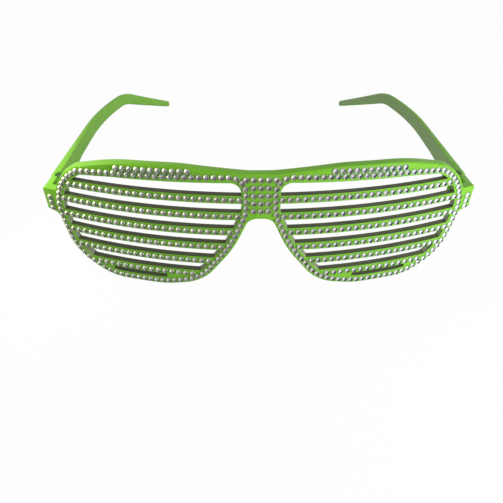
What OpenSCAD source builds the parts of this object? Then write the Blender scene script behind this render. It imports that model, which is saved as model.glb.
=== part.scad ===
// Shutter-style party glasses: a wrapped, louvred front with folding temples
// and rows of round flat-back stones. Millimetres. X runs to the wearer's left,
// Y runs back along the temples, Z is up. The front's lowest edge is at Z = 0
// and the middle of its front surface is at Y = 0.

/* [Front] */
// Radius of the front's wrap, seen from above
wrap_r = 182; // [150:2:400]
// Thickness of the rims, bridge and brow, front to back
rim_t = 3.1; // [2.8:0.1:4]
// Width of the rim round each lens opening
rim_w = 3.1; // [2.8:0.1:3.4]
// Height of the brow's top edge at the middle
brow_z = 45.6; // [40:0.1:52]
// Height of the brow above the middle line of the rims' upper bars
brow_lip = 1.5; // [1.3:0.1:2]
// Height that the brow rises above its middle, over each lens
brow_rise = 1.8; // [1.4:0.1:2.4]
// Width of the bridge, between the middle lines of the rims
bridge_w = 9.2; // [8.8:0.1:12]
// Height of the bridge, from the nose arch's flat top to the brow's top
bridge_h = 15.9; // [14.6:0.1:20]
// Radius of the nose arch's upper corners
arch_r = 4; // [2:0.1:5]
// Radius of the fillets in the outline's inside corners
fillet_r = 2.2; // [1:0.1:3]

/* [Louvres] */
// Number of slats in each lens opening
slats = 6; // [2:1:6]
// Height of the gap above the top slat
top_gap = 4.35; // [3.5:0.05:5.5]
// Height of one slat
slat_h = 3; // [2.4:0.1:3.4]
// Depth of one slat, front to back
slat_t = 2.4; // [1.6:0.1:2.8]
// Height of the short slot below the last slat
low_slot_h = 1.6; // [1.2:0.1:2.2]
// Width of the short slot
low_slot_w = 20; // [6:0.5:20]
// Distance of the short slot towards the nose, from the middle of the rim's lowest side
low_slot_in = 0.9; // [0:0.1:5]

/* [Endpieces] */
// Width of the front over both endpieces
front_w = 149.4; // [130:0.2:165]
// Width of an endpiece, from the middle line of the rim outwards
end_w = 5.3; // [5:0.1:8]
// Height of the endpieces' top edge
end_top_z = 33; // [32.5:0.1:34]
// Height of the endpieces, top to bottom
end_h = 8.6; // [8.2:0.1:9]
// Thickness of the returns that run back to the temples
return_t = 3.4; // [3:0.1:4]
// Distance back from the front surface to the seam with the temples
seam_y = 25; // [23:0.5:30]
// Radius of an endpiece's outer top corner, seen from the front
end_r = 2; // [1:0.1:3]
// Radius of the upright corner where an endpiece turns back
corner_r = 2; // [1:0.1:3]

/* [Temples] */
// Distance from the seam to the ear bend
bend_l = 82; // [70:0.5:90]
// Distance from the ear bend to the tip, straight back
hook_l = 30.5; // [26:0.5:40]
// Distance that the tip is set in from the temple's outer face
tip_in = 24.8; // [15:0.2:26]
// Height that the temple's top edge rises to the ear bend
bend_rise = 2; // [0:0.1:4]
// Height of the tip's top edge
tip_z = 19.9; // [17:0.1:25]
// Radius of the ear bend, seen from above
plan_r = 110; // [60:5:130]
// Radius of the ear bend, seen from the side
side_r = 22; // [15:1:30]
// Height of the temple at the ear bend
mid_h = 5.2; // [3.6:0.1:6]
// Height of the temple at its tip
tip_h = 2.6; // [2.2:0.1:3.4]
// Thickness of the temple at the ear bend
mid_t = 2.4; // [2:0.1:3]
// Thickness of the temple at its tip
tip_t = 2.2; // [1.8:0.1:2.6]

/* [Hinges] */
// Radius of the hinge knuckles
knuckle_r = 1.7; // [1.4:0.1:1.9]
// Height of the middle knuckle, on the temple
knuckle_h = 2.4; // [1.6:0.1:2.8]
// Height of each outer knuckle, on the front
lug_h = 2; // [1.6:0.1:2.2]
// Length of the web that joins a knuckle to its wall
web_l = 4; // [3:0.1:5]
// Diameter of the hinge screw's shank
screw_d = 1.2; // [0.8:0.1:1.6]
// Diameter of the hinge screw's head
head_d = 2.2; // [1.8:0.1:2.8]
// Height of the hinge screw's head
head_h = 0.6; // [0.4:0.1:0.8]
// Radial play of the screw in its holes
screw_play = 0.05; // [0.02:0.01:0.1]
// Gap between moving faces
gap = 0.12; // [0.08:0.01:0.2]

/* [Stones] */
// Diameter of one stone
stone_d = 2; // [1.6:0.1:2.1]
// Height of one stone
stone_h = 0.9; // [0.6:0.1:1.2]
// Diameter of the stone's flat top facet
table_d = 1.1; // [0.8:0.1:1.3]
// Thickness of the glue under a stone
glue = 0.02; // [0.01:0.01:0.05]
// Distance from stone to stone round the rims
rim_pitch = 2.28; // [2.2:0.02:3]
// Distance from stone to stone along the slats
row_pitch = 2.36; // [2.3:0.02:3]
// Gap between a stone of the second brow row and the rim stones below it
brow_row_gap = 0.2; // [0.05:0.01:0.3]
// Distance of that row's nose end from the bridge
brow_row_in = 16.6; // [10:0.2:25]
// Distance of that row's outer end from the endpiece
brow_row_out = 23.8; // [20:0.2:30]
// Height that the rim rows are set up at the bridge's top corners
row_lift = 0.5; // [0:0.1:0.6]
// Number of stone rows on the bridge
bridge_rows = 5; // [1:1:5]
// Distance between those rows
bridge_pitch = 2.75; // [2.3:0.05:2.75]
// Number of stones on each endpiece
end_stones = 3; // [1:1:3]

/* [Hidden] */
lime = "#7fdc2a";
steel = "#b9bcc0";
crystal = "#d5d8dc";
eps = 0.01;
// Largest turn of one facet of a rounded corner
arc_step = 9;

half_w = front_w / 2;
end_z = end_top_z - end_h;
arch_z = brow_z - bridge_h;
inner_x = half_w - return_t;
hinge_x = inner_x - 0.2;
hinge_y = seam_y;
bend_z = end_top_z + bend_rise;
tip_y = seam_y + bend_l + hook_l;
slat_top_z = brow_z - brow_lip - rim_w / 2 - top_gap;
slat_pitch = (slat_top_z - slat_h - rim_w - low_slot_h) / (slats - 1);
// Longer and higher than the front is, for cuts that pass right through
reach = 2 * brow_z;

// Heights of the knuckles, stacked about the middle of the endpiece
knuckle_z = end_z + (end_h - knuckle_h) / 2 - 0.1;
low_lug_z = knuckle_z - gap - lug_h;
top_lug_z = knuckle_z + knuckle_h + gap;
lug_top = top_lug_z + lug_h;
pocket_r = knuckle_r + gap;

// Middle line of the rim round the left lens: [x, z, corner radius]. The line is drawn for a lens that runs
// from x = 4.6 to 69.4 and from z = 1.55 to 44.1, then stretched to lie between the bridge, the endpiece,
// the lowest edge and the brow.
RIM_SHAPE = [[4.6, 44.1, 5], [4.6, 31.5, 14], [10.2, 18.6, 40], [21, 4.2, 16],
    [34, 1.55, 30], [54, 1.55, 16], [66.2, 9.4, 16], [69.4, 27.9, 17],
    [65.3, 37.6, 16], [58.7, 42.2, 4], [48, 43.1, 40]];
stretch = (half_w - end_w - bridge_w / 2) / (69.4 - 4.6);
tall = (brow_z - brow_lip - rim_w / 2) / (44.1 - 1.55);
less = min(stretch, tall);
function out(x) = bridge_w / 2 + (x - 4.6) * stretch;
function up(z) = rim_w / 2 + (z - 1.55) * tall;
RIM = [for (p = RIM_SHAPE) [out(p[0]), up(p[1]), p[2] * less]];
low_slot_x = (RIM[4][0] + RIM[5][0]) / 2 - low_slot_in;

// Rounding of outlines. A point is [a, b, radius] and a radius of 0 stays sharp
function flat(p) = [p[0], p[1]];
function unit(v) = v / norm(v);
function corner(a, b, c, r) = let (
        u = unit(a - b),
        w = unit(c - b),
        half = acos(u * w) / 2,
        mid = b + unit(u + w) * r / sin(half),
        p = b + u * r / tan(half) - mid,
        q = b + w * r / tan(half) - mid,
        from = atan2(p[1], p[0]),
        turn = (atan2(q[1], q[0]) - from + 540) % 360 - 180,
        n = max(1, ceil(abs(turn) / arc_step)))
    r == 0 ? [b] : [for (i = [0:n]) mid + r * [cos(from + turn * i / n), sin(from + turn * i / n)]];
function rounded(pts) = let (n = len(pts))
    [for (i = [0:n - 1])
        each corner(flat(pts[(i + n - 1) % n]), flat(pts[i]), flat(pts[(i + 1) % n]), pts[i][2])];

// Front-view x to distance along the wrapped surface, and back
function unroll(x) = wrap_r * asin(x / wrap_r) * PI / 180;
function reroll(s) = wrap_r * sin(s / wrap_r * 180 / PI);
function wrap_y(x, r = wrap_r) = wrap_r - sqrt(r * r - x * x);

// Points spaced evenly along a closed path on the wrapped surface
function walk(path) = [for (i = 0, s = 0; i <= len(path); s = s + step(path, i), i = i + 1) s];
function step(path, i) = let (n = len(path), p = path[i % n], q = path[(i + 1) % n])
    norm([unroll(q[0]) - unroll(p[0]), q[1] - p[1]]);
function point_at(path, run, s) = let (
        i = len([for (d = run) if (d <= s) d]) - 1,
        p = path[i % len(path)],
        q = path[(i + 1) % len(path)],
        t = (s - run[i]) / (run[i + 1] - run[i]))
    [reroll(unroll(p[0]) + t * (unroll(q[0]) - unroll(p[0]))), p[1] + t * (q[1] - p[1])];
function evenly(path, pitch) = let (run = walk(path), n = floor(run[len(path)] / pitch))
    [for (i = [0:n - 1]) point_at(path, run, i * run[len(path)] / n)];

// Where a closed path crosses the height z
function crossings(path, z) = [for (i = [0:len(path) - 1])
    let (p = path[i], q = path[(i + 1) % len(path)])
    if ((p[1] <= z) != (q[1] <= z)) p[0] + (z - p[1]) / (q[1] - p[1]) * (q[0] - p[0])];

RIM_LINE = rounded(RIM);
ROW_LINE = rounded([for (i = [0:len(RIM) - 1]) i > 0 ? RIM[i] : RIM[0] + [0, row_lift, 0]]);
function slat_z(k) = slat_top_z - (k - 1) * slat_pitch;

module both_sides() {
    children();
    mirror([1, 0, 0]) children();
}

// Puts a front-view outline upright, running back from the front surface
module upright(from, to) {
    translate([0, to, 0]) rotate([90, 0, 0]) linear_extrude(to - from) children();
}

// Outline of the front, seen from the front
module front_outline() {
    offset(r = -fillet_r, $fn = 48) offset(r = fillet_r, $fn = 48) {
        offset(r = -arch_r, $fn = 64) offset(r = arch_r, $fn = 64) {
            both_sides() offset(delta = rim_w / 2) polygon(RIM_LINE);
            translate([-RIM[0][0], arch_z]) square([2 * RIM[0][0], brow_z - arch_z - 1]);
        }
        both_sides() {
            brow_outline();
            endpiece_outline();
        }
    }
}

module brow_outline() {
    top_z = brow_z + brow_rise;
    polygon(rounded([[-1, brow_z - brow_lip - 0.5, 0], [-1, brow_z, 0], [out(4), brow_z, 30 * less],
        [out(25), top_z, 60 * less], [out(46), top_z - 0.5, 60 * less],
        [out(59.5), up(43.45), 0], [out(57), up(41.6), 0]]));
}

module endpiece_outline() {
    polygon(rounded([[out(64), end_top_z, 0], [half_w, end_top_z, end_r], [half_w - 0.5, end_z, 0.8],
        [out(66), end_z - 1.6, 0]]));
}

module opening() {
    offset(delta = -rim_w / 2) polygon(RIM_LINE);
}

// The gaps above and between the slats, and the short slot below the last one
module slots() {
    gap_h = slat_pitch - slat_h;
    intersection() {
        opening();
        union() {
            translate([0, slat_top_z]) square(reach);
            for (k = [1:1:slats - 1]) translate([0, slat_z(k + 1)]) square([reach, gap_h]);
            translate([low_slot_x - low_slot_w / 2, 0]) square([low_slot_w, slat_z(slats) - slat_h]);
        }
    }
}

// Seen from above: inside the wrap, with the upright corners rounded
module plan_envelope() {
    corner_x = half_w - corner_r;
    corner_y = wrap_y(corner_x, wrap_r - corner_r);
    touch_x = corner_x * wrap_r / (wrap_r - corner_r);
    intersection() {
        translate([0, wrap_r, -1]) cylinder(r = wrap_r, h = reach + 2, $fn = 360);
        union() {
            translate([-touch_x, -1, 0]) cube([2 * touch_x, reach, reach]);
            translate([-half_w, corner_y, 0]) cube([2 * half_w, reach, reach]);
            both_sides() translate([corner_x, corner_y, 0]) cylinder(r = corner_r, h = reach, $fn = 48);
        }
    }
}

module hinge_cylinder(r, z0, z1) {
    translate([hinge_x, hinge_y, z0]) cylinder(r = r, h = z1 - z0, $fn = 48);
}

// One moulded knuckle with the web to its wall. side is -1 in front of the pin, 1 behind it
module knuckle(z, h, side) {
    hinge_cylinder(knuckle_r, z, z + h);
    y0 = side < 0 ? hinge_y - web_l : hinge_y;
    translate([hinge_x - knuckle_r, y0, z]) cube([inner_x - hinge_x + knuckle_r + 0.5, web_l, h]);
}

module returns() {
    both_sides() difference() {
        union() {
            translate([inner_x, wrap_y(inner_x) + 0.5, end_z]) {
                cube([return_t, seam_y - wrap_y(inner_x) - 0.5, end_h]);
            }
            knuckle(low_lug_z, lug_h, -1);
            knuckle(top_lug_z, lug_h, -1);
        }
        hinge_cylinder(pocket_r, knuckle_z - gap, top_lug_z);
        hinge_cylinder(pocket_r, lug_top, end_top_z + 1);
        hinge_cylinder(pocket_r, end_z - 1, low_lug_z);
        hinge_cylinder(screw_d / 2 + screw_play, end_z - 1, end_top_z + 1);
    }
}

module front_frame() {
    color(lime) difference() {
        intersection() {
            plan_envelope();
            union() {
                difference() {
                    upright(-1, reach) front_outline();
                    translate([0, wrap_r, -1]) cylinder(r = wrap_r - rim_t, h = reach + 2, $fn = 360);
                }
                returns();
            }
        }
        both_sides() {
            upright(-1, reach) slots();
            intersection() {
                upright(-1, reach) opening();
                translate([0, wrap_r, -1]) cylinder(r = wrap_r - slat_t, h = reach + 2, $fn = 360);
            }
        }
    }
}

// The second corner of a tip cut square across its run from the bend, w away from the first
function across(bend, tip, w) = let (u = unit(tip - bend)) tip + w * [-u[1], u[0]];

// Temple outline seen from the side, as [y, z]
module temple_side() {
    bend = [seam_y + bend_l, bend_z];
    tip = [tip_y, tip_z];
    under = across(bend, tip, -tip_h);
    round_r = tip_h / 2 - 0.1;
    polygon(rounded([[seam_y + gap, end_z, 0.6], [seam_y + gap, end_top_z, 0],
        [bend[0], bend[1], side_r], [tip[0], tip[1], round_r], [under[0], under[1], round_r],
        [bend[0] - 1, bend[1] - mid_h, side_r - mid_h], [seam_y + 0.3 * bend_l, end_z + 2.8, 80],
        [seam_y + web_l + 2, end_z + 0.6, 20]]));
}

// Temple outline seen from above, as [x, y]
module temple_plan() {
    bend = [half_w - 1, seam_y + bend_l - 8];
    tip = [half_w - tip_in, tip_y];
    inside = across(bend, tip, tip_t);
    round_r = tip_t / 2 - 0.1;
    polygon(rounded([[half_w, seam_y + gap, 0], [bend[0], bend[1], plan_r],
        [tip[0], tip[1], round_r], [inside[0], inside[1], round_r],
        [bend[0] - mid_t, bend[1] - 0.7, plan_r - mid_t],
        [half_w - 0.5 - mid_t, seam_y + 0.34 * bend_l, 80], [inner_x, seam_y + web_l + 3, 40],
        [inner_x, seam_y + gap, 0]]));
}

module temple() {
    color(lime) difference() {
        union() {
            difference() {
                intersection() {
                    rotate([90, 0, 90]) linear_extrude(half_w + 1) temple_side();
                    linear_extrude(reach) temple_plan();
                }
                hinge_cylinder(pocket_r, end_z - 1, knuckle_z);
                hinge_cylinder(pocket_r, knuckle_z + knuckle_h, end_top_z + 1);
            }
            knuckle(knuckle_z, knuckle_h, 1);
        }
        hinge_cylinder(screw_d / 2 + screw_play, end_z - 1, end_top_z + 1);
    }
}

module hinge_screw() {
    color(steel) {
        hinge_cylinder(screw_d / 2, low_lug_z + 0.1, lug_top + eps);
        difference() {
            hinge_cylinder(head_d / 2, lug_top, lug_top + head_h);
            translate([hinge_x - head_d, hinge_y - 0.15, lug_top + head_h - 0.3]) {
                cube([2 * head_d, 0.3, 1]);
            }
        }
    }
}

// One stone on the wrapped front surface, at front-view x and height z
module stone(x, z) {
    translate([x, wrap_y(x), z]) rotate([0, 0, asin(x / wrap_r)]) rotate([90, 0, 0]) {
        translate([0, 0, glue]) cylinder(d = stone_d, h = stone_h * 0.25, $fn = 32);
        translate([0, 0, glue + stone_h * 0.25]) {
            cylinder(d1 = stone_d, d2 = table_d, h = stone_h * 0.75, $fn = 32);
        }
    }
}

module stones(points) {
    color(crystal) for (p = points) stone(p[0], p[1]);
}

// Ends of a row at height z that stays clear of the rim stones, also where the rim slants
row_gap = stone_d + 0.15;
function nose_end(z) = min(crossings(RIM_LINE, z));
function outer_end(z) = max(crossings(RIM_LINE, z));
function slat_row(k) = let (
        z = slat_z(k) - slat_h / 2,
        nose_slant = norm([1, (nose_end(z + 1) - nose_end(z - 1)) / 2]),
        outer_slant = norm([1, (outer_end(z + 1) - outer_end(z - 1)) / 2]),
        from = unroll(nose_end(z)) + row_gap * nose_slant,
        span = unroll(outer_end(z)) - row_gap * outer_slant - from,
        n = floor(span / row_pitch))
    [for (i = [0:n]) [reroll(from + i * span / n), z]];

module left_slat_stones(k) {
    if (k <= slats) stones(slat_row(k));
}

module rim_stones() {
    stones(evenly(ROW_LINE, rim_pitch));
}

// The second brow row: each stone sits over the gap between two rim stones
module brow_row() {
    run = walk(ROW_LINE);
    n = floor(run[len(ROW_LINE)] / rim_pitch);
    pitch = run[len(ROW_LINE)] / n;
    lift = sqrt(pow(stone_d + brow_row_gap, 2) - pow(pitch / 2, 2));
    stones([for (i = [0:n - 1])
        let (p = point_at(ROW_LINE, run, (i + 0.5) * pitch))
        if (p[1] > brow_z / 2 && p[0] > bridge_w / 2 + brow_row_in
            && p[0] < half_w - end_w - brow_row_out) [p[0], p[1] + lift]]);
}

module bridge_stones() {
    stones([for (r = [0:bridge_rows - 1], c = [-1:1])
        [c * bridge_w / 4, RIM[0][1] - 0.4 - r * bridge_pitch]]);
}

module endpiece_stones() {
    stones([for (i = [0:end_stones - 1])
        [half_w - end_w / 2 + 0.05, end_z + stone_d / 2 + 0.2 + i * (stone_d + 0.1)]]);
}

front_frame();
temple();  // left_temple
mirror([1, 0, 0]) temple();  // right_temple
hinge_screw();  // left_hinge_screw
mirror([1, 0, 0]) hinge_screw();  // right_hinge_screw
rim_stones();  // left_rim_stones
mirror([1, 0, 0]) rim_stones();  // right_rim_stones
brow_row();  // left_brow_stones
mirror([1, 0, 0]) brow_row();  // right_brow_stones
bridge_stones();
endpiece_stones();  // left_endpiece_stones
mirror([1, 0, 0]) endpiece_stones();  // right_endpiece_stones
left_slat_stones(1);  // left_slat_1_stones
left_slat_stones(2);  // left_slat_2_stones
left_slat_stones(3);  // left_slat_3_stones
left_slat_stones(4);  // left_slat_4_stones
left_slat_stones(5);  // left_slat_5_stones
left_slat_stones(6);  // left_slat_6_stones
mirror([1, 0, 0]) left_slat_stones(1);  // right_slat_1_stones
mirror([1, 0, 0]) left_slat_stones(2);  // right_slat_2_stones
mirror([1, 0, 0]) left_slat_stones(3);  // right_slat_3_stones
mirror([1, 0, 0]) left_slat_stones(4);  // right_slat_4_stones
mirror([1, 0, 0]) left_slat_stones(5);  // right_slat_5_stones
mirror([1, 0, 0]) left_slat_stones(6);  // right_slat_6_stones
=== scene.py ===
"""Party glasses with louvred lens openings and rows of round stones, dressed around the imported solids.

Sizes are in millimetres until a mesh is made. X runs to the wearer's left, Y back along the temples, Z up.
"""

import math

import bmesh
import bpy
import numpy as np
from mathutils import Matrix, Vector
from mathutils.geometry import delaunay_2d_cdt


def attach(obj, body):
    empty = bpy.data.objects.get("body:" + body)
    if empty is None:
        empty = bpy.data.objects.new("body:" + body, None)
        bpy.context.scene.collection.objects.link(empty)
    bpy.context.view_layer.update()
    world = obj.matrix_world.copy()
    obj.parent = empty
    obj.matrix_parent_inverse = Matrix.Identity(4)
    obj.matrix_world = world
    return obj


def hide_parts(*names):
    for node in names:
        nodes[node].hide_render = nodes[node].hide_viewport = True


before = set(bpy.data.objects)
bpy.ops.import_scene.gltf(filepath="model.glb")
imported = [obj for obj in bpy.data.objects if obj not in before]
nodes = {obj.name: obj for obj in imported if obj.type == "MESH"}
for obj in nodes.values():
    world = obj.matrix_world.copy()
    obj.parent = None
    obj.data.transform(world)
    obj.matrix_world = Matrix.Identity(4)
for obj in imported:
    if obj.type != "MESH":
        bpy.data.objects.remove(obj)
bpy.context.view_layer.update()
MM = 0.001

# Camera: a wide view from in front and above, close to the glasses, so that the temples draw together.
# Its place follows from the point that it looks at, its distance and its angles, and its lens from a focal
# length in pixels of the square picture.

view_target = np.array([-2.927, 0.0, 16.791])
view_azimuth, view_elevation, view_roll = np.radians([-0.63, 37.294, 0.084])
view_distance = 153.49
focal_px, picture_px, sensor_w = 456.536, 503, 36

level = math.cos(view_elevation)
back = np.array([math.sin(view_azimuth) * level, -math.cos(view_azimuth) * level, math.sin(view_elevation)])
side = np.cross(-back, [0, 0, 1])
side /= np.linalg.norm(side)
rise = np.cross(side, -back)
right_axis = math.cos(view_roll) * side + math.sin(view_roll) * rise
up_axis = -math.sin(view_roll) * side + math.cos(view_roll) * rise

lens = bpy.data.cameras.new("view_camera")
lens.sensor_width = sensor_w
lens.lens = sensor_w * (focal_px / picture_px)
lens.clip_start = 0.005
camera = bpy.data.objects.new("view_camera", lens)
bpy.context.scene.collection.objects.link(camera)
pose = Matrix.Identity(4)
for row in range(3):
    pose[row][0], pose[row][1], pose[row][2] = right_axis[row], up_axis[row], back[row]
    pose[row][3] = (view_target[row] + back[row] * view_distance) * MM
camera.matrix_world = pose
bpy.context.scene.camera = camera
bpy.context.scene.view_settings.view_transform = "Standard"

# Moulded green plastic: one batch of tinted, polished styrene for the front and both temples. The skin has
# faint flow lines and clouding from the mould, and a little light passes into thin edges. The last four
# tints below are the same plastic with light and shade painted in: painted shade in recesses and pockets,
# painted shade with a grey sheen on the openings' walls, a painted grey sheen on the left temple's shaded
# inner face and painted light on the right temple's inner face.

cloud_scale, sheen_scale, ripple_scale, gloss_spread = 60, 240, 260, 0.12


def wire(tree, source, socket, target, name):
    """Joins one node's output to another node's input."""
    tree.links.new(source.outputs[socket], target.inputs[name])


def new_material(name):
    """An empty node material with its surface shader, as (material, tree, shader)."""
    material = bpy.data.materials.new(name)
    material.use_nodes = True
    tree = material.node_tree
    return material, tree, tree.nodes["Principled BSDF"]


def noise(tree, scale, detail=3, stretch=(1, 1, 1)):
    """Cloudy noise on object coordinates. Stretch thins or lengthens it along an axis."""
    place = tree.nodes.new("ShaderNodeTexCoord")
    turn = tree.nodes.new("ShaderNodeMapping")
    cloud = tree.nodes.new("ShaderNodeTexNoise")
    turn.inputs["Scale"].default_value = stretch
    cloud.inputs["Scale"].default_value = scale
    cloud.inputs["Detail"].default_value = detail
    wire(tree, place, "Object", turn, "Vector")
    wire(tree, turn, "Vector", cloud, "Vector")
    return cloud


def ramp(tree, source, stops):
    """A colour band over a 0 to 1 value. A stop is (place, colour)."""
    band = tree.nodes.new("ShaderNodeValToRGB")
    while len(band.color_ramp.elements) < len(stops):
        band.color_ramp.elements.new(0.5)
    for element, (place, colour) in zip(band.color_ramp.elements, stops):
        element.position = place
        element.color = (*colour, 1)
    wire(tree, source, "Fac", band, "Fac")
    return band


def moulded(name, low, high, gloss, glow):
    """Polished moulding: two close tints in slow clouds, a gloss that varies a little, and a fine ripple in
    the skin."""
    material, tree, shader = new_material(name)
    tint = ramp(tree, noise(tree, cloud_scale, 4, (1, 1, 2.5)), [(0.32, low), (0.68, high)])
    wire(tree, tint, "Color", shader, "Base Color")
    sheen = ramp(tree, noise(tree, sheen_scale), [(0.3, (gloss,) * 3), (0.7, (gloss + gloss_spread,) * 3)])
    wire(tree, sheen, "Color", shader, "Roughness")
    bump = tree.nodes.new("ShaderNodeBump")
    bump.inputs["Strength"].default_value = 0.02
    bump.inputs["Distance"].default_value = 0.0002
    wire(tree, noise(tree, ripple_scale, 2), "Fac", bump, "Height")
    wire(tree, bump, "Normal", shader, "Normal")
    shader.inputs["Specular IOR Level"].default_value = 0.12
    shader.inputs["Subsurface Weight"].default_value = glow
    shader.inputs["Subsurface Radius"].default_value = (0.5, 1.0, 0.2)
    shader.inputs["Subsurface Scale"].default_value = 0.0012
    return material


green = moulded("lime_styrene", (0.155, 0.415, 0.026), (0.178, 0.455, 0.032), 0.26, 0.12)
# Painted shade: dark grey-green for the slats' tops, the opening walls that look up and the hinge pockets
recess_shade_green = moulded("lime_styrene_with_painted_recess_shade", (0.09, 0.1, 0.055), (0.115, 0.127, 0.075), 0.42, 0.0)
# Painted shade with a grey sheen for the opening walls that look aside or down
wall_shade_and_sheen_green = moulded("lime_styrene_with_painted_wall_shade_and_sheen", (0.25, 0.27, 0.20), (0.32, 0.34, 0.26), 0.4, 0.0)
# Painted grey sheen on the shaded inner face of the left temple
grey_sheen_green = moulded("lime_styrene_with_painted_sheen_in_the_shade", (0.255, 0.385, 0.18), (0.285, 0.425, 0.205), 0.4, 0.0)
# Painted light on the inner face of the right temple
painted_light_green = moulded("lime_styrene_in_the_light", (0.25, 0.57, 0.08), (0.28, 0.61, 0.1), 0.4, 0.0)

# Front moulding: one thin plate wrapped round the face, with both rims, the bridge and the brow.
# At each end it turns back through an upright corner and runs as a flat return to the temple's seam.

wrap_r, rim_t, rim_w = 182.0, 3.1, 3.1
half_w, return_t, corner_r, seam_y = 74.7, 3.4, 2.0, 25.0
end_top_z, end_h = 33.0, 8.6
end_z = end_top_z - end_h
arch_z, arch_r, brow_z, brow_rise, fillet_r = 29.7, 4.0, 45.6, 1.8, 2.2
front_edge, brow_edge, return_edge, back_edge = 0.3, 0.8, 2.0, 0.35
edge_steps, plate_pitch, inner_fillet = 4, 0.75, 0.8
soft_z, soft_run, turn_run = 38.5, 4.0, 3.0
tiny, grid_clear, same_place = 1e-5, 0.55, 1e-7

# Middle line of the rim round the left lens, as corners [x, z, radius]
rim_corners = np.array([
    [4.6, 44.1, 5], [4.6, 31.5, 14], [10.2, 18.6, 40], [21, 4.2, 16],
    [34, rim_w / 2, 30], [54, rim_w / 2, 16], [66.2, 9.4, 16], [69.4, 27.9, 17],
    [65.3, 37.6, 16], [58.7, 42.2, 4], [48, 43.1, 40]])


def rounded(corners, step=6):
    """Closed outline through corners [a, b, radius]. Each corner is an arc that touches both of its sides."""
    corners = np.asarray(corners, float)
    parts = []
    for i, (*b, r) in enumerate(corners):
        a, b, c = corners[i - 1, :2], np.array(b), corners[(i + 1) % len(corners), :2]
        if r == 0:
            parts.append(b[None])
            continue
        u, w = (a - b) / np.linalg.norm(a - b), (c - b) / np.linalg.norm(c - b)
        half = math.acos(float(np.clip(u @ w, -1, 1))) / 2
        middle = b + (u + w) / np.linalg.norm(u + w) * r / math.sin(half)
        p, q = b + u * r / math.tan(half) - middle, b + w * r / math.tan(half) - middle
        start = math.atan2(p[1], p[0])
        turn = (math.atan2(q[1], q[0]) - start + 3 * math.pi) % (2 * math.pi) - math.pi
        count = max(1, math.ceil(abs(math.degrees(turn)) / step))
        angle = start + turn * np.arange(count + 1) / count
        parts.append(middle + r * np.stack([np.cos(angle), np.sin(angle)], 1))
    return np.concatenate(parts)


def grown(corners, by):
    """The same corners with every side moved outwards by a distance, and each radius larger by it."""
    p = corners[:, :2]
    run = np.roll(p, -1, 0) - p
    run /= np.linalg.norm(run, axis=1)[:, None]
    out = np.stack([run[:, 1], -run[:, 0]], 1)
    before = np.roll(out, 1, 0)
    shift = (out + before) / (1 + (out * before).sum(1))[:, None]
    return np.column_stack([p + by * shift, corners[:, 2] + by])


def refined(path, pitch):
    """The same closed outline without doubled points, and with sides longer than pitch cut into equal
    parts."""
    path = path[np.linalg.norm(np.roll(path, -1, 0) - path, axis=1) > tiny]
    run = np.roll(path, -1, 0) - path
    parts = np.ceil(np.linalg.norm(run, axis=1) / pitch).astype(int).clip(1)
    row = np.repeat(np.arange(len(path)), parts)
    step = np.arange(len(row)) - np.repeat(np.cumsum(parts) - parts, parts)
    return path[row] + run[row] * (step / parts[row])[:, None]


def inwards(path):
    """At each point of a closed outline, the shift that moves both of its sides left by one."""
    run = np.roll(path, -1, 0) - path
    run /= np.linalg.norm(run, axis=1)[:, None]
    left = np.stack([-run[:, 1], run[:, 0]], 1)
    before = np.roll(left, 1, 0)
    return (left + before) / (1 + (left * before).sum(1)).clip(0.3)[:, None]


def inside(points, loops):
    """Even-odd test: a point is inside where a line to its right crosses the outlines an odd number of
    times."""
    a = np.concatenate(loops)
    b = np.concatenate([np.roll(loop, -1, 0) for loop in loops])
    x, y = points[:, :1], points[:, 1:2]
    crossed = (a[:, 1] <= y) != (b[:, 1] <= y)
    drop = np.where(a[:, 1] == b[:, 1], 1, b[:, 1] - a[:, 1])
    at = a[:, 0] + (y - a[:, 1]) / drop * (b[:, 0] - a[:, 0])
    return (crossed & (at > x)).sum(1) % 2 == 1


def filled(loops, pitch):
    """Triangles between closed outlines, with grid points at that pitch where there is room.
    Returns the grid points and the triangles, which count the outlines' points first."""
    rim = np.concatenate(loops)
    low, high = rim.min(0), rim.max(0)
    grid = np.stack(np.meshgrid(*(np.arange(low[i] + pitch / 2, high[i], pitch) for i in (0, 1))), -1)
    grid = grid.reshape(-1, 2)
    near = np.linalg.norm(grid[:, None] - rim[None], axis=2).min(1) if len(grid) else np.zeros(0)
    grid = grid[(near > grid_clear * pitch) & inside(grid, loops)] if len(grid) else grid
    points = np.concatenate([rim, grid])
    edges, first = [], 0
    for loop in loops:
        ring = np.arange(len(loop)) + first
        edges += np.stack([ring, np.roll(ring, -1)], 1).tolist()
        first += len(loop)
    _, _, faces, source, _, _ = delaunay_2d_cdt([Vector(p) for p in points], edges, [], 0, same_place)
    faces = np.array([[source[k][0] for k in face] for face in faces])
    a, b, c = (points[faces[:, k]] for k in range(3))
    area = ((b[:, 0] - a[:, 0]) * (c[:, 1] - a[:, 1]) - (b[:, 1] - a[:, 1]) * (c[:, 0] - a[:, 0])) / 2
    faces[area < 0] = faces[area < 0][:, ::-1]
    return grid, faces[inside(points[faces].mean(1), loops) & (np.abs(area) > tiny)]


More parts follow.
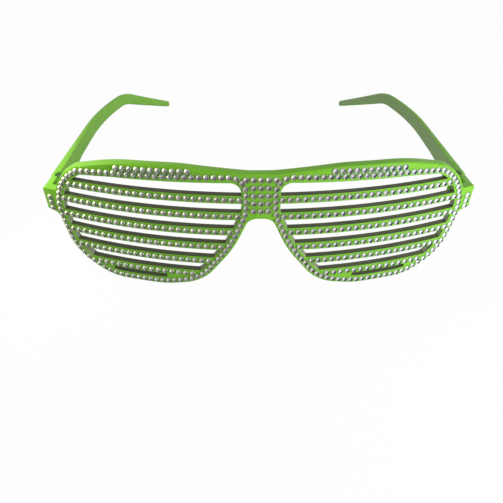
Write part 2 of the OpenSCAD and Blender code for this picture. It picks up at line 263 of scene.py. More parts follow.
def plate(loops, place, depth, front, back, pitch):
    """A plate with rounded edges. Its walls are an edge profile carried along every outline: a quarter turn
    of radius front, a straight wall and a quarter turn of radius back. Its faces are filled between the
    outlines, which run with the material on their left. place(u, v, share) puts a point at a share of the
    depth."""
    turn = np.linspace(0, math.pi / 2, edge_steps + 1)[:, None]
    loops = [refined(loop, pitch) for loop in loops]
    points, faces, tops, bottoms, first = [], [], [], [], 0
    for loop in loops:
        edge = front(loop) if callable(front) else np.full(len(loop), front)
        inset = np.concatenate([edge * (1 - np.sin(turn)), back * (1 - np.cos(turn)) + 0 * edge])
        back_turn = 1 - back * (1 - np.sin(turn)) / depth
        sunk = np.concatenate([edge * (1 - np.cos(turn)) / depth, back_turn + 0 * edge])
        flat = loop + inwards(loop) * inset[..., None]
        points.append(place(flat[..., 0], flat[..., 1], sunk).reshape(-1, 3))
        rings, count = len(inset), len(loop)
        cell = first + np.arange(rings * count).reshape(rings, count)
        beside = np.roll(cell, -1, 1)
        faces.append(np.stack([cell[:-1], cell[1:], beside[1:], beside[:-1]], -1).reshape(-1, 4))
        tops.append((flat[0], cell[0]))
        bottoms.append((flat[-1], cell[-1]))
        first += rings * count
    tris = []
    for side_loops, share, order in ((tops, 0.0, 1), (bottoms, 1.0, -1)):
        grid, cells = filled([flat for flat, _ in side_loops], 2 * pitch)
        index = np.concatenate([ring for _, ring in side_loops] + [first + np.arange(len(grid))])
        points.append(place(grid[:, 0], grid[:, 1], np.full(len(grid), share)))
        tris.append(index[cells][:, ::order])
        first += len(grid)
    return np.concatenate(points), [*np.concatenate(faces).tolist(), *np.concatenate(tris).tolist()]


def mirrored(shape):
    """The same surface on the other side of the middle, with its faces turned to point outwards again."""
    points, faces = shape
    return points * [-1, 1, 1], [face[::-1] for face in faces]


def joined(shapes):
    """Several closed surfaces as one."""
    points, faces, first = [], [], 0
    for p, f in shapes:
        points.append(p)
        faces += [[k + first for k in face] for face in f]
        first += len(p)
    return np.concatenate(points), faces


def new_piece(name, shape, materials, body, replaced=()):
    """Makes a surface an object of the scene, shaded smooth, and fixed to its body."""
    points, faces = shape
    mesh = bpy.data.meshes.new(name)
    mesh.from_pydata((points * MM).tolist(), [], faces)
    mesh.update()
    mesh.shade_smooth()
    for material in materials:
        mesh.materials.append(material)
    piece = bpy.data.objects.new(name, mesh)
    bpy.context.scene.collection.objects.link(piece)
    if body:
        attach(piece, body)
        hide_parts(*replaced)
    return piece


def wrap_y(x, r=wrap_r):
    """How far back the wrapped face lies at x."""
    return wrap_r - np.sqrt(r * r - x * x)


corner_x = half_w - corner_r
corner_y = wrap_y(corner_x, wrap_r - corner_r)
touch_x = corner_x * wrap_r / (wrap_r - corner_r)
touch_angle = math.asin(touch_x / wrap_r)
corner_end = touch_x + corner_r * (math.pi / 2 - touch_angle)
seam_u = corner_end + seam_y - corner_y
inner_x = half_w - return_t
hollow_x = inner_x - inner_fillet
hollow_y = wrap_y(hollow_x, wrap_r - rim_t - inner_fillet)
hollow_angle = math.asin(hollow_x / (wrap_r - rim_t - inner_fillet))
hollow_touch = (wrap_r - rim_t) * math.sin(hollow_angle)


def place_front(u, v, share):
    """From the unbent plate to the glasses. u is x as far as the upright corner, and the length along the
    outside of the corner and the return after it. The outer and inner face are each an arc of the wrap, an
    arc of the corner and a straight return, and share runs between the two."""
    far = np.abs(u)
    bend = np.clip((far - touch_x) / (corner_end - touch_x), 0, 1)
    angle = touch_angle + bend * (math.pi / 2 - touch_angle)
    flat = np.minimum(far, touch_x)
    outer_x = np.where(far < touch_x, far, corner_x + corner_r * np.sin(angle))
    outer_y = np.where(far < touch_x, wrap_y(flat), corner_y - corner_r * np.cos(angle))
    outer_y = np.where(far > corner_end, corner_y + far - corner_end, outer_y)
    bend = np.clip((far - hollow_touch) / (corner_end - hollow_touch), 0, 1)
    angle = hollow_angle + bend * (math.pi / 2 - hollow_angle)
    flat = np.minimum(far, hollow_touch)
    along = np.maximum(far - corner_end, 0) / (seam_u - corner_end)
    hollow = far > hollow_touch
    back_x = np.where(hollow, hollow_x + inner_fillet * np.sin(angle), far)
    back_y = np.where(hollow, hollow_y - inner_fillet * np.cos(angle), wrap_y(flat, wrap_r - rim_t))
    back_y = np.where(far > corner_end, hollow_y + along * (seam_y - hollow_y), back_y)
    x = np.sign(u) * (outer_x + share * (back_x - outer_x))
    return np.stack([x, outer_y + share * (back_y - outer_y), v + 0 * x], -1)


def on_side(a, b, z):
    """The x where the side from corner a to corner b is at height z."""
    return a[0] + (z - a[1]) / (b[1] - a[1]) * (b[0] - a[0])


rim_outside = grown(rim_corners, rim_w / 2)
rim_opening = rounded(grown(rim_corners, -rim_w / 2), 4)
brow_top = brow_z + brow_rise

# The unbent plate's left half, as corners [u, z, radius]: the arch, the rim, the endpiece and the brow
half_outline = np.array([
    [on_side(rim_outside[1], rim_outside[2], arch_z), arch_z, arch_r],
    *rim_outside[2:7],
    [on_side(rim_outside[6], rim_outside[7], end_z - 0.75), end_z - 0.75, fillet_r],
    [74.4, end_z, 4], [seam_u + 4, end_z, 1], [seam_u + 4, end_top_z, 2.6],
    [on_side(rim_outside[7], rim_outside[8], end_top_z), end_top_z, 1.5],
    rim_outside[8], [59.6, 43.46, 7], [46, brow_top - 0.5, 60], [25, brow_top, 60], [4, brow_z, 30]])
other_half = half_outline[::-1] * [-1, 1, 1]
front_outline = rounded(np.concatenate([half_outline, other_half]), 3)


def front_edges(path):
    """Radius of the front's outer edge: soft along the brow's top and the tops of the returns, and small
    elsewhere."""
    lift = np.clip((path[:, 1] - soft_z) / soft_run, 0, 1)
    past_corner = np.clip((np.abs(path[:, 0]) - touch_x + 0.5) / turn_run, 0, 1)
    bend = past_corner * np.clip((path[:, 1] - end_z - 1) / soft_run, 0, 1)
    brow, side = (part * part * (3 - 2 * part) for part in (lift, bend))
    return front_edge + (brow_edge - front_edge) * brow + (return_edge - front_edge) * side


def front_plate_edges(path):
    """The soft brow edge on the outline only. The lens openings keep the small edge."""
    return front_edges(path) if np.abs(path[:, 0]).max() > half_w else np.full(len(path), front_edge)


front_shape = plate([front_outline, rim_opening[::-1], rim_opening * [-1, 1]], place_front, rim_t,
                    front_plate_edges, back_edge, plate_pitch)

# Louvres: six slats a lens, moulded with the rims. Each is a slim bar that follows the wrap.
# They are shallower than the rims, and the last one is a wider web with a short slot in it.

slat_top_z, slat_pitch, slat_h, slat_t, slats = 38.2, 6.1, 3.0, 2.4, 6
low_slot_w, low_slot_x = 20.0, 43.1
slat_edge, slat_set, slat_root, web_root = 0.26, 0.01, 1.1, 1.5
slat_stations, slot_corner = 70, 0.3


def crossings(path, z):
    """The x at which a closed outline crosses each height z, as its nearest and farthest crossing."""
    a, b = path, np.roll(path, -1, 0)
    z = np.atleast_1d(z)[:, None]
    crossed = (a[:, 1] <= z) != (b[:, 1] <= z)
    at = a[:, 0] + (z - a[:, 1]) / np.where(a[:, 1] == b[:, 1], 1, b[:, 1] - a[:, 1]) * (b[:, 0] - a[:, 0])
    return np.where(crossed, at, np.inf).min(1), np.where(crossed, at, -np.inf).max(1)


def round_rectangle(width, height, radius, steps=4):
    """Points round a rectangle with arcs for corners, counter-clockwise about its middle from its right
    side. Sizes may be arrays, one value for each section of a bar, and the radius may differ from corner to
    corner."""
    turn = np.linspace(0, math.pi / 2, steps + 1)
    angle = np.concatenate([turn + k * math.pi / 2 for k in range(4)])
    right = np.repeat([1, -1, -1, 1], steps + 1)
    top = np.repeat([1, 1, -1, -1], steps + 1)
    width, height = np.asarray(width, float)[..., None], np.asarray(height, float)[..., None]
    radius = np.repeat(np.asarray(radius, float) + np.zeros(4), steps + 1, axis=-1)
    return (right * (width / 2 - radius) + radius * np.cos(angle),
            top * (height / 2 - radius) + radius * np.sin(angle))


def tube_faces(rings, count, turned=False):
    """Quads between neighbouring rings of points, and a flat face over each end."""
    cell = np.arange(rings * count).reshape(rings, count)
    beside = np.roll(cell, -1, 1)
    quads = np.stack([cell[:-1], beside[:-1], beside[1:], cell[1:]], -1).reshape(-1, 4)
    faces = [*quads.tolist(), cell[0][::-1].tolist(), cell[-1].tolist()]
    return [face[::-1] for face in faces] if turned else faces


def slat_bar(top_z):
    """A bar with rounded edges, swept along the wrap. At each height of its section it runs from just inside
    the rim on the nose side to just inside the rim on the outer side."""
    back_part, up_part = round_rectangle(slat_t, slat_h, slat_edge)
    z = top_z - slat_h / 2 + up_part
    near, far = crossings(rim_opening, z)
    along = np.linspace(0, 1, slat_stations)[:, None]
    x = near - slat_root + along * (far - near + 2 * slat_root)
    share = (back_part + slat_t / 2 + slat_set) / (slat_t + slat_set)
    y = wrap_y(x) + share * (wrap_y(x, wrap_r - slat_t) - wrap_y(x))
    return np.stack([x, y, z + 0 * x], -1).reshape(-1, 3), tube_faces(slat_stations, len(z))


def place_web(u, v, share):
    """A point of the lowest web, at a share of a slat's depth and a hair behind the rim's face."""
    shallow = wrap_y(u) + slat_set
    return np.stack([u, shallow + share * (wrap_y(u, wrap_r - slat_t) - shallow), v + 0 * u], -1)


web_top = slat_top_z - (slats - 1) * slat_pitch
root = grown(rim_corners, -rim_w / 2 + web_root)
web_path = rounded([
    [on_side(root[2], root[3], web_top), web_top, 0.5], [*root[3][:2], 7], root[4], root[5],
    [on_side(root[5], root[6], web_top), web_top, 0.5]])
slot_foot = rim_w - 0.25
slot_start, slot_end, slot_top = low_slot_x - low_slot_w / 2, low_slot_x + low_slot_w / 2, web_top - slat_h
slot_path = rounded([
    [slot_start, slot_foot, slot_corner], [slot_end, slot_foot, slot_corner],
    [slot_end, slot_top, slot_corner], [slot_start, slot_top, slot_corner]])
web_shape = plate([web_path, slot_path[::-1]], place_web, slat_t, slat_edge, slat_edge, plate_pitch)
left_louvres = [slat_bar(slat_top_z - k * slat_pitch) for k in range(slats - 1)] + [web_shape]

# Hinges: two lugs on the front's return and one knuckle on the temple, stacked on a steel screw.
# Round pockets in the return and the temple let the parts turn past each other.

hinge_x, hinge_y = inner_x - 0.2, seam_y
knuckle_r, knuckle_h, lug_h, web_l, gap = 1.7, 2.4, 2.0, 4.0, 0.12
knuckle_z = end_z + (end_h - knuckle_h) / 2 - 0.1
low_lug_z = knuckle_z - gap - lug_h
top_lug_z = knuckle_z + knuckle_h + gap
lug_top = top_lug_z + lug_h
pocket_r = knuckle_r + gap
lug_edge, lug_corner, lug_pitch, pocket_sides = 0.15, 0.3, 1.2, 48


def lug(z, height, way):
    """A hinge lug seen from above: a strip from its wall that ends in a half circle round the pin."""
    near, far = hinge_x - knuckle_r, hinge_x + knuckle_r
    end = [hinge_y + way * web_l, hinge_y - way * knuckle_r]
    corners = [[near, end[0], lug_corner], [far, end[0], lug_corner],
               [far, end[1], knuckle_r - 0.02], [near, end[1], knuckle_r - 0.02]]
    if way > 0:
        corners = corners[::-1]

    def place(u, v, share):
        return np.stack([u, v, z + height * (1 - share) + 0 * u], -1)

    return plate([rounded(corners, 10)], place, height, lug_edge, lug_edge, lug_pitch)


def cut_away(piece, cylinders):
    """Takes upright cylinders [side, low, high] of the pocket's radius out of a piece, on the hinge's line.
    The faces within that radius on the wearer's left get the piece's second material,
    which paints shade into the pocket."""
    angle = np.linspace(0, 2 * math.pi, pocket_sides, endpoint=False)
    ring = np.stack([np.cos(angle), np.sin(angle)], 1) * pocket_r
    for side_sign, low, high in cylinders:
        flat = ring + [side_sign * hinge_x, hinge_y]
        stack = [np.column_stack([flat, np.full(pocket_sides, z)]) for z in (low, high)]
        cylinder = np.concatenate(stack), tube_faces(2, pocket_sides)
        cutter = new_piece("pocket", cylinder, [green], None)
        step = piece.modifiers.new("pocket", "BOOLEAN")
        step.operation, step.solver, step.object = "DIFFERENCE", "EXACT", cutter
        graph = bpy.context.evaluated_depsgraph_get()
        mesh = bpy.data.meshes.new_from_object(piece.evaluated_get(graph))
        piece.modifiers.clear()
        old, piece.data = piece.data, mesh
        bpy.data.meshes.remove(old)
        bpy.data.objects.remove(cutter)
    piece.data.name = piece.name
    middle = np.array([p.center for p in piece.data.polygons]) / MM
    away = np.hypot(np.abs(middle[:, 0]) - hinge_x, middle[:, 1] - hinge_y)
    # Painted shade: the pocket faces on the wearer's left take the dark second material
    painted_dark = (away < pocket_r + 0.01) & (middle[:, 0] > 0)
    piece.data.polygons.foreach_set("material_index", painted_dark.astype(np.int32))


def even_shading(piece, crease=38):
    """Keeps edges sharper than the crease crisp. Elsewhere it leans each shared normal towards the larger
    face, so that flat faces stay flat beside small rounded edges."""
    piece.data.set_sharp_from_angle(angle=math.radians(crease))
    step = piece.modifiers.new("even_shading", "WEIGHTED_NORMAL")
    step.keep_sharp = True


def cut_off(piece, y):
    """Cuts a piece square across at y, keeps what lies in front of the cut and closes it."""
    form = bmesh.new()
    form.from_mesh(piece.data)
    cut = bmesh.ops.bisect_plane(form, geom=[*form.verts, *form.edges, *form.faces], plane_co=(0, y * MM, 0),
                                 plane_no=(0, 1, 0), clear_outer=True)["geom_cut"]
    bmesh.ops.holes_fill(form, edges=[edge for edge in cut if isinstance(edge, bmesh.types.BMEdge)], sides=0)
    form.to_mesh(piece.data)
    form.free()


front = new_piece("front_moulding", front_shape, [green, recess_shade_green, wall_shade_and_sheen_green], "front",
                  ["front_frame"])
cut_off(front, seam_y)
front_pockets = ((end_z - 1, low_lug_z), (knuckle_z - gap, top_lug_z), (lug_top, end_top_z + 1))
cut_away(front, [(sign, low, high) for sign in (1, -1) for low, high in front_pockets])

# The walls of the lens openings: painted shade, dark where they look up, and painted shade with a grey
# sheen where they look aside or down
wall_lean, up_lean, wall_in = 0.6, 0.8, 0.4
middle = np.array([p.center for p in front.data.polygons]) / MM
normal = np.array([p.normal for p in front.data.polygons])
at_opening = inside(np.abs(middle[:, [0, 2]]), [rounded(grown(rim_corners, wall_in - rim_w / 2))])
wall = (np.abs(normal[:, 1]) < wall_lean) & at_opening
kind = np.array([p.material_index for p in front.data.polygons])
kind[wall] = np.where(normal[wall, 2] < up_lean, 2, 1)
front.data.polygons.foreach_set("material_index", kind.astype(np.int32))
even_shading(front)

louvres = new_piece("louvres", joined(left_louvres + [mirrored(s) for s in left_louvres]),
                    [green, recess_shade_green], "front")
# Painted shade: the slats' upward faces take the dark second material
painted_shade_tops = np.array([p.normal.z for p in louvres.data.polygons]) > up_lean
louvres.data.polygons.foreach_set("material_index", painted_shade_tops.astype(np.int32))
even_shading(louvres)

left_lugs = [lug(low_lug_z, lug_h, -1), lug(top_lug_z, lug_h, -1)]
lugs = new_piece("hinge_lugs", joined(left_lugs + [mirrored(s) for s in left_lugs]), [green],
                 "front")
even_shading(lugs)

# Temples: one moulding each. A flat bar that tapers back from the seam, bends down behind the ear
# and in towards the head, and ends in a slim rounded tip.

bend_l, hook_l, tip_in, bend_rise, tip_z = 82.0, 30.5, 24.8, 2.0, 19.9
plan_r, side_r, mid_h, tip_h, mid_t, tip_t = 110.0, 22.0, 5.2, 2.6, 2.4, 2.2
temple_edges, seam_edge = [1.5, 0.5, 0.6, 0.7], 0.4
bar_stations, seam_run, tip_from, tip_run, full_size, least_r = 120, 0.6, 1.9, 1.6, 2.3, 0.03
side_lean = 0.7


def across(bend, tip, w):
    """The second corner of a tip cut square across its run from the bend."""
    run = (np.array(tip) - bend) / np.linalg.norm(np.array(tip) - bend)
    return np.array(tip) + w * np.array([-run[1], run[0]])


def two_sides(path, stations):
    """A closed outline [along, across] as two heights at each station: the one from its start to its far end,
    and the one from its far end back."""
    end = int(path[:, 0].argmax())
    one, other = path[:end + 1], path[end:][::-1]
    return np.interp(stations, one[:, 0], one[:, 1]), np.interp(stations, other[:, 0], other[:, 1])


tip_y, bend_z, seam_start = seam_y + bend_l + hook_l, end_top_z + bend_rise, seam_y + gap
side_bend, side_tip = [seam_y + bend_l, bend_z], [tip_y, tip_z]
side_under = across(side_bend, side_tip, -tip_h)
side_path = rounded([
    [seam_start, end_top_z, 0], [*side_bend, side_r], [*side_tip, tip_h / 2 - 0.1],
    [*side_under, tip_h / 2 - 0.1], [side_bend[0] - 1, bend_z - mid_h, side_r - mid_h],
    [seam_y + 0.3 * bend_l, end_z + 2.8, 80], [seam_y + web_l + 2, end_z + 0.6, 20],
    [seam_start, end_z, 0]], 3)
plan_bend, plan_tip = [seam_y + bend_l - 8, half_w - 1], [tip_y, half_w - tip_in]
plan_inside = across(plan_bend, plan_tip, -tip_t)
plan_path = rounded([
    [seam_start, half_w, 0], [*plan_bend, plan_r], [*plan_tip, tip_t / 2 - 0.1],
    [*plan_inside, tip_t / 2 - 0.1], [plan_bend[0] - 0.7, plan_bend[1] - mid_t, plan_r - mid_t],
    [seam_y + 0.34 * bend_l, half_w - 0.5 - mid_t, 80], [seam_y + web_l + 3, inner_x, 40],
    [seam_start, inner_x, 0]], 3)


def temple_surface():
    """A round-edged rectangle carried along the temple. Its height at each station lies between the side
    outline's two edges and its width between the plan outline's. Its edges are softest at the top outside,
    and get smaller with the section. The first stations draw it in for a rounded seam edge."""
    last = min(side_path[:, 0].max(), plan_path[:, 0].max()) - 0.01
    turn = np.linspace(0, math.pi / 2, 5)
    close = tip_run * (1 - np.cos(np.linspace(0, math.pi / 2, 12)))[::-1]
    y = np.concatenate([seam_start + seam_edge * (1 - np.cos(turn)),
                        np.linspace(seam_start + seam_run, last - tip_from, bar_stations), last - close])
    inset = np.zeros(len(y))
    inset[:5] = seam_edge * (1 - np.sin(turn))
    top, foot = two_sides(side_path, y)
    outer, inner = two_sides(plan_path, y)
    width, height = np.abs(outer - inner) - 2 * inset, np.abs(top - foot) - 2 * inset
    radius = (np.array(temple_edges) * np.minimum(1, np.minimum(width, height) / full_size)[:, None]
              - inset[:, None]).clip(least_r)
    across_x, across_z = round_rectangle(width, height, radius)
    x = (outer + inner)[:, None] / 2 + across_x
    z = (top + foot)[:, None] / 2 + across_z
    points = np.stack([x, y[:, None] + 0 * x, z], -1)
    return points.reshape(-1, 3), tube_faces(len(y), x.shape[1], True)


temple_cuts = ((end_z - 1, knuckle_z), (knuckle_z + knuckle_h, end_top_z + 1))
temple_sides = (("left", "left_arm", 1, grey_sheen_green), ("right", "right_arm", -1, painted_light_green))
for name, body, sign, inner_face_painted_shading in temple_sides:
    bar, knuckle = temple_surface(), lug(knuckle_z, knuckle_h, 1)
    if sign < 0:
        bar, knuckle = mirrored(bar), mirrored(knuckle)
    arm = new_piece(f"{name}_temple_bar", bar, [green, recess_shade_green, inner_face_painted_shading], body,
                    [f"{name}_temple"])
    cut_away(arm, [(sign, low, high) for low, high in temple_cuts])
    # The inner face takes the third material: a painted grey sheen on the left temple, painted light on the
    # right one
    kind = np.array([2 if sign * p.normal.x < -side_lean else p.material_index for p in arm.data.polygons])
    arm.data.polygons.foreach_set("material_index", kind.astype(np.int32))
    even_shading(arm, 50)
    even_shading(new_piece(f"{name}_temple_knuckle", knuckle, [green], body))

# Hinge screws: turned steel with a slotted head, one a side, upright through the lugs and the knuckle.
# Their solids have the right shape, so they stay and only get this finish.

steel, tree, shader = new_material("turned_steel")
grain = ramp(tree, noise(tree, 500, 4, (1, 1, 12)), [(0.3, (0.16, 0.16, 0.17)), (0.7, (0.26, 0.26, 0.27))])
wire(tree, grain, "Color", shader, "Base Color")
shader.inputs["Metallic"].default_value = 1.0
shader.inputs["Roughness"].default_value = 0.42
for name in ("left_hinge_screw", "right_hinge_screw"):
    nodes[name].data.materials.clear()
    nodes[name].data.materials.append(steel)

# Stones: round flat-back stones of clear acrylic with silver foil behind, glued on one by one.
# Each facet's colour is painted: painted highlights on some facets and painted dark reflections on others, as
# the lit foil shows them.

stone_d, stone_h, table_d, glue = 2.0, 0.9, 1.1, 0.02
table_ring, crown_ring, crown_h, girdle_h = 0.95, 0.385, 0.66, 0.27
rim_pitch, row_pitch, row_gap, row_lift = 2.28, 2.36, 2.15, 0.5
draw = np.random.default_rng(11)


def ring_points(radius, height, count, shift=0.0):
    """Points spaced evenly on a circle at a height above the stone's back."""
    angle = (np.arange(count) + shift) * 2 * math.pi / count
    return np.stack([radius * np.cos(angle), radius * np.sin(angle), np.full(count, height)], 1)


stone_points = np.concatenate([
    ring_points(table_d / 2 * table_ring, stone_h, 8),
    ring_points(stone_d * crown_ring, stone_h * crown_h, 8, 0.5),
    ring_points(stone_d / 2, stone_h * girdle_h, 16), ring_points(stone_d / 2, 0.0, 16)])
k8, k16 = np.arange(8), np.arange(16)
stone_facets = [
    [k8.tolist()], np.stack([k8, 8 + k8, (k8 + 1) % 8], 1).tolist(),
    np.stack([k8, 8 + (k8 - 1) % 8, 16 + 2 * k8, 8 + k8], 1).tolist(),
    np.stack([8 + k8, 16 + 2 * k8, 17 + 2 * k8], 1).tolist(),
    np.stack([8 + k8, 17 + 2 * k8, 16 + (2 * k8 + 2) % 16], 1).tolist(),
    np.stack([32 + k16, 32 + (k16 + 1) % 16, 16 + (k16 + 1) % 16, 16 + k16], 1).tolist(),
    [(32 + k16)[::-1].tolist()]]
stone_facets = [facet for group in stone_facets for facet in group]
facet_middle = np.array([stone_points[facet].mean(0) for facet in stone_facets])

foil, tree, shader = new_material("foil_backed_stone")
# Each facet's painted highlight and dark reflection comes in as a colour attribute
tone = tree.nodes.new("ShaderNodeVertexColor")
tone.layer_name = "painted_facet_light_and_shade"
wire(tree, tone, "Color", shader, "Base Color")
shader.inputs["Metallic"].default_value = 0.4
shader.inputs["Roughness"].default_value = 0.34
shader.inputs["Specular IOR Level"].default_value = 0.15


def unroll(x):
    """Distance along the wrapped face from the middle."""
    return wrap_r * np.arcsin(x / wrap_r)


def evenly(path, pitch, shift=0.0):
    """Points spaced evenly along a closed outline on the wrapped face, about pitch apart, and their exact
    pitch. They start at a share of the pitch past the outline's first point."""
    flat = np.column_stack([unroll(path[:, 0]), path[:, 1]])
    flat = np.concatenate([flat, flat[:1]])
    run = np.concatenate([[0], np.cumsum(np.linalg.norm(np.diff(flat, axis=0), axis=1))])
    count = int(run[-1] / pitch)
    at = (np.arange(count) + shift) * run[-1] / count
    x = wrap_r * np.sin(np.interp(at, run, flat[:, 0]) / wrap_r)
    return np.column_stack([x, np.interp(at, run, flat[:, 1])]), run[-1] / count


rim_line = rounded(rim_corners, 9)
row_corners = rim_corners.copy()
row_corners[0, 1] += row_lift
row_line = rounded(row_corners, 9)


def slat_row(k):
    """A row of stones along slat k, from rim row to rim row, with a little more room where the rim slants."""
    z = slat_top_z - (k - 1) * slat_pitch - slat_h / 2
    near, far = crossings(rim_line, [z - 1, z, z + 1])
    slant = [math.hypot(1, (end[2] - end[0]) / 2) for end in (near, far)]
    start, stop = unroll(near[1]) + row_gap * slant[0], unroll(far[1]) - row_gap * slant[1]
    along = np.linspace(start, stop, int((stop - start) / row_pitch) + 1)
    return np.column_stack([wrap_r * np.sin(along / wrap_r), np.full(len(along), z)])


# How the stones' painted light and shade change across the front: at each x the slope of the painted tone
# across a stone, the tone of its table and that of its middle, and the colours of a painted dark facet, a
# painted glint and the clear edge with the green round it painted in
tone_x, colour_x = [-45, 0, 20, 45], [-45, 0, 45]
tone_along, tone_table, tone_level = [-1.1, -1.5, -1.7, -2.0], [0.4, 0.1, 0.05, 0.0], [0.5, 0.42, 0.4, 0.34]
shaded_facet_colours = (0.07, 0.08, 0.06), (0.08, 0.075, 0.065), (0.02, 0.025, 0.07)
glint_facet_colours = (0.95, 0.97, 0.98), (0.88, 0.86, 0.8), (1.0, 1.0, 1.0)
see_through_green_colours = (0.42, 0.54, 0.35), (0.46, 0.57, 0.4), (0.5, 0.66, 0.46)
tone_up, tone_spread, table_spread, stone_lean = 0.1, 0.09, 0.05, 0.02
clear_from, clear_share = 0.8, 0.7


def colour_at(x, colours):
    """The colour at each x, straight between the given ones, with a middle axis for the facets."""
    return np.stack([np.interp(x, colour_x, part) for part in zip(*colours)], 1)[:, None]


def stone_field(name, places, replaced):
    """Copies of one stone on the wrapped face. Each is turned at random about its own axis and leans by a
    degree or two. Each facet's colour is painted light and shade: it lies between a painted dark and a
    painted glint by its place on the stone, lit towards the wearer's right, plus a random part. The table
    has its own painted tone. On the clear edge some of the green round it is painted in, as if seen
    through it."""
    count, size = len(places), len(stone_points)
    spin = draw.uniform(0, math.pi / 4, count)
    lean = draw.normal(0, stone_lean, (count, 2))
    cos, sin = np.cos(spin)[:, None], np.sin(spin)[:, None]
    p = stone_points[:, 0] * cos - stone_points[:, 1] * sin
    q = stone_points[:, 0] * sin + stone_points[:, 1] * cos
    h = stone_points[:, 2] + glue + np.maximum(0, lean[:, :1] * p + lean[:, 1:] * q)
    angle = np.arcsin(places[:, 0] / wrap_r)[:, None]
    x = places[:, :1] + p * np.cos(angle) + h * np.sin(angle)
    y = wrap_y(places[:, :1]) + p * np.sin(angle) - h * np.cos(angle)
    points = np.stack([x, y, places[:, 1:] + q], -1).reshape(-1, 3)
    faces = [[k + first for k in facet] for first in range(0, count * size, size) for facet in stone_facets]
    piece = new_piece(name, (points, faces), [foil], "front", replaced)
    piece.data.shade_flat()
    across_x = facet_middle[:, 0] * cos - facet_middle[:, 1] * sin
    across_z = facet_middle[:, 0] * sin + facet_middle[:, 1] * cos
    along, table, middle_tone = (
        np.interp(places[:, 0], tone_x, tones)[:, None] for tones in (tone_along, tone_table, tone_level))
    slope = (along * across_x + tone_up * across_z) / (stone_d / 2)
    value = middle_tone + slope + draw.normal(0, tone_spread, across_x.shape)
    value[:, :1] = table + draw.normal(0, table_spread, table.shape)
    painted_dark, light, edge = (
        colour_at(places[:, 0], colours) for colours in (shaded_facet_colours, glint_facet_colours, see_through_green_colours))
    tone = painted_dark + value.clip(0, 1)[..., None] * (light - painted_dark)
    clear = np.linalg.norm(facet_middle[:, :2], axis=1) > clear_from * stone_d / 2
    tone[:, clear] += clear_share * (edge - tone[:, clear])
    corners = np.array([len(facet) for facet in stone_facets])
    tone = np.repeat(tone.reshape(-1, 3), np.tile(corners, count), axis=0)
    tones = piece.data.color_attributes.new("painted_facet_light_and_shade", "FLOAT_COLOR", "CORNER")
    tones.data.foreach_set("color", np.column_stack([tone, np.ones(len(tone))]).ravel())


brow_from, brow_to, brow_gap = 21.2, 45.6, 0.2
end_in, end_drop, end_gap, end_count = 2.9, 3.2, 0.1, 3
bridge_run, bridge_step, bridge_drop, bridge_end_x, bridge_rows = 2.3, 2.75, 0.4, 4.6, 5

rim_places = evenly(row_line, rim_pitch)[0]
gaps, pitch = evenly(row_line, rim_pitch, 0.5)
over_gaps = gaps[(gaps[:, 1] > brow_z / 2) & (gaps[:, 0] > brow_from) & (gaps[:, 0] < brow_to)]
brow_places = over_gaps + [0, math.sqrt((stone_d + brow_gap) ** 2 - (pitch / 2) ** 2)]
end_heights = end_top_z - end_drop - np.arange(end_count) * (stone_d + end_gap)
end_places = np.column_stack([np.full(end_count, half_w - end_in), end_heights])
for name, flip in (("left", [1, 1]), ("right", [-1, 1])):
    stone_field(f"{name}_rim_row", rim_places * flip, [f"{name}_rim_stones"])
    stone_field(f"{name}_brow_row", brow_places * flip, [f"{name}_brow_stones"])
    stone_field(f"{name}_endpiece_row", end_places * flip, [f"{name}_endpiece_stones"])
    for k in range(1, slats + 1):
        stone_field(f"{name}_slat_row_{k}", slat_row(k) * flip, [f"{name}_slat_{k}_stones"])
bridge_top = rim_corners[0, 1] - bridge_drop
bridge_places = np.array([[column * bridge_run, bridge_top - row * bridge_step]
                          for row in range(bridge_rows) for column in (-1, 0, 1)])
bridge_ends = np.array([[-bridge_end_x, bridge_top], [bridge_end_x, bridge_top]])
stone_field("bridge_field", np.concatenate([bridge_places, bridge_ends]), ["bridge_stones"])

# Floor and light: a white table and a soft studio. The main lamp stands to the wearer's left, and a small
# warm one hangs near the wearer's right end.

table_half, table_z, table_white = 3, -0.0001, 0.97

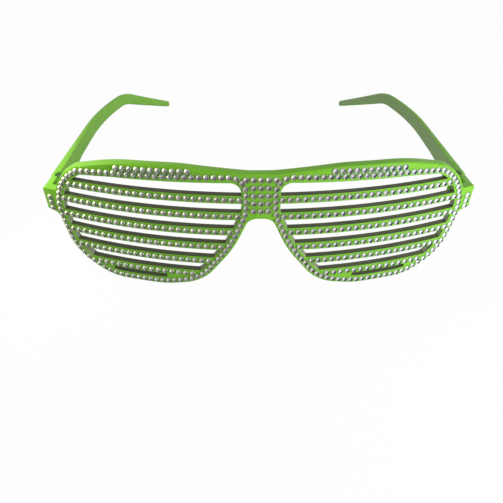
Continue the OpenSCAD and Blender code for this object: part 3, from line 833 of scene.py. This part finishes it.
floor_white, tree, shader = new_material("white_table")
tree.nodes.remove(shader)
paths = tree.nodes.new("ShaderNodeLightPath")
matt = tree.nodes.new("ShaderNodeBsdfDiffuse")
glow = tree.nodes.new("ShaderNodeEmission")
blend = tree.nodes.new("ShaderNodeMixShader")
share = tree.nodes.new("ShaderNodeMath")
matt.inputs["Color"].default_value = (0.8, 0.8, 0.8, 1)
share.operation = "MULTIPLY"
share.inputs[1].default_value = table_white
wire(tree, paths, "Is Camera Ray", share, 0)
wire(tree, share, "Value", blend, 0)
wire(tree, matt, "BSDF", blend, 1)
wire(tree, glow, "Emission", blend, 2)
wire(tree, blend, "Shader", tree.nodes["Material Output"], "Surface")
mesh = bpy.data.meshes.new("table")
table_corners = [(x * table_half, y * table_half, table_z) for x, y in ((-1, -1), (1, -1), (1, 1), (-1, 1))]
mesh.from_pydata(table_corners, [], [(0, 1, 2, 3)])
mesh.materials.append(floor_white)
table = bpy.data.objects.new("table", mesh)
bpy.context.scene.collection.objects.link(table)

world = bpy.data.worlds.new("studio")
bpy.context.scene.world = world
world.use_nodes = True
tree = world.node_tree
sky = tree.nodes["Background"]
seen = tree.nodes.new("ShaderNodeBackground")
paths = tree.nodes.new("ShaderNodeLightPath")
direct = tree.nodes.new("ShaderNodeMath")
choose = tree.nodes.new("ShaderNodeMixShader")
sky.inputs["Color"].default_value = (1, 1, 1, 1)
sky.inputs["Strength"].default_value = 0.5
seen.inputs["Color"].default_value = (1, 1, 1, 1)
seen.inputs["Strength"].default_value = 1.0
direct.operation = "ADD"
direct.use_clamp = True
wire(tree, paths, "Is Camera Ray", direct, 0)
wire(tree, paths, "Is Glossy Ray", direct, 1)
wire(tree, direct, "Value", choose, 0)
wire(tree, sky, "Background", choose, 1)
wire(tree, seen, "Background", choose, 2)
wire(tree, choose, "Shader", tree.nodes["World Output"], "Surface")


def softbox(name, place, aim, width, power, colour):
    """A square area lamp at place that faces aim, both in millimetres."""
    lamp = bpy.data.lights.new(name, "AREA")
    lamp.shape, lamp.size, lamp.energy, lamp.color = "SQUARE", width * MM, power, colour
    holder = bpy.data.objects.new(name, lamp)
    bpy.context.scene.collection.objects.link(holder)
    way = Vector(aim) - Vector(place)
    turn = way.to_track_quat("-Z", "Y").to_matrix().to_4x4()
    holder.matrix_world = Matrix.Translation(Vector(place) * MM) @ turn


softbox("lamp_left", (150, -120, 55), (45, 0, 12), 80, 0.31, (1, 1, 1))
softbox("lamp_above", (-95, 14, 82), (-70, 15, 30), 35, 0.052, (1, 0.95, 0.55))
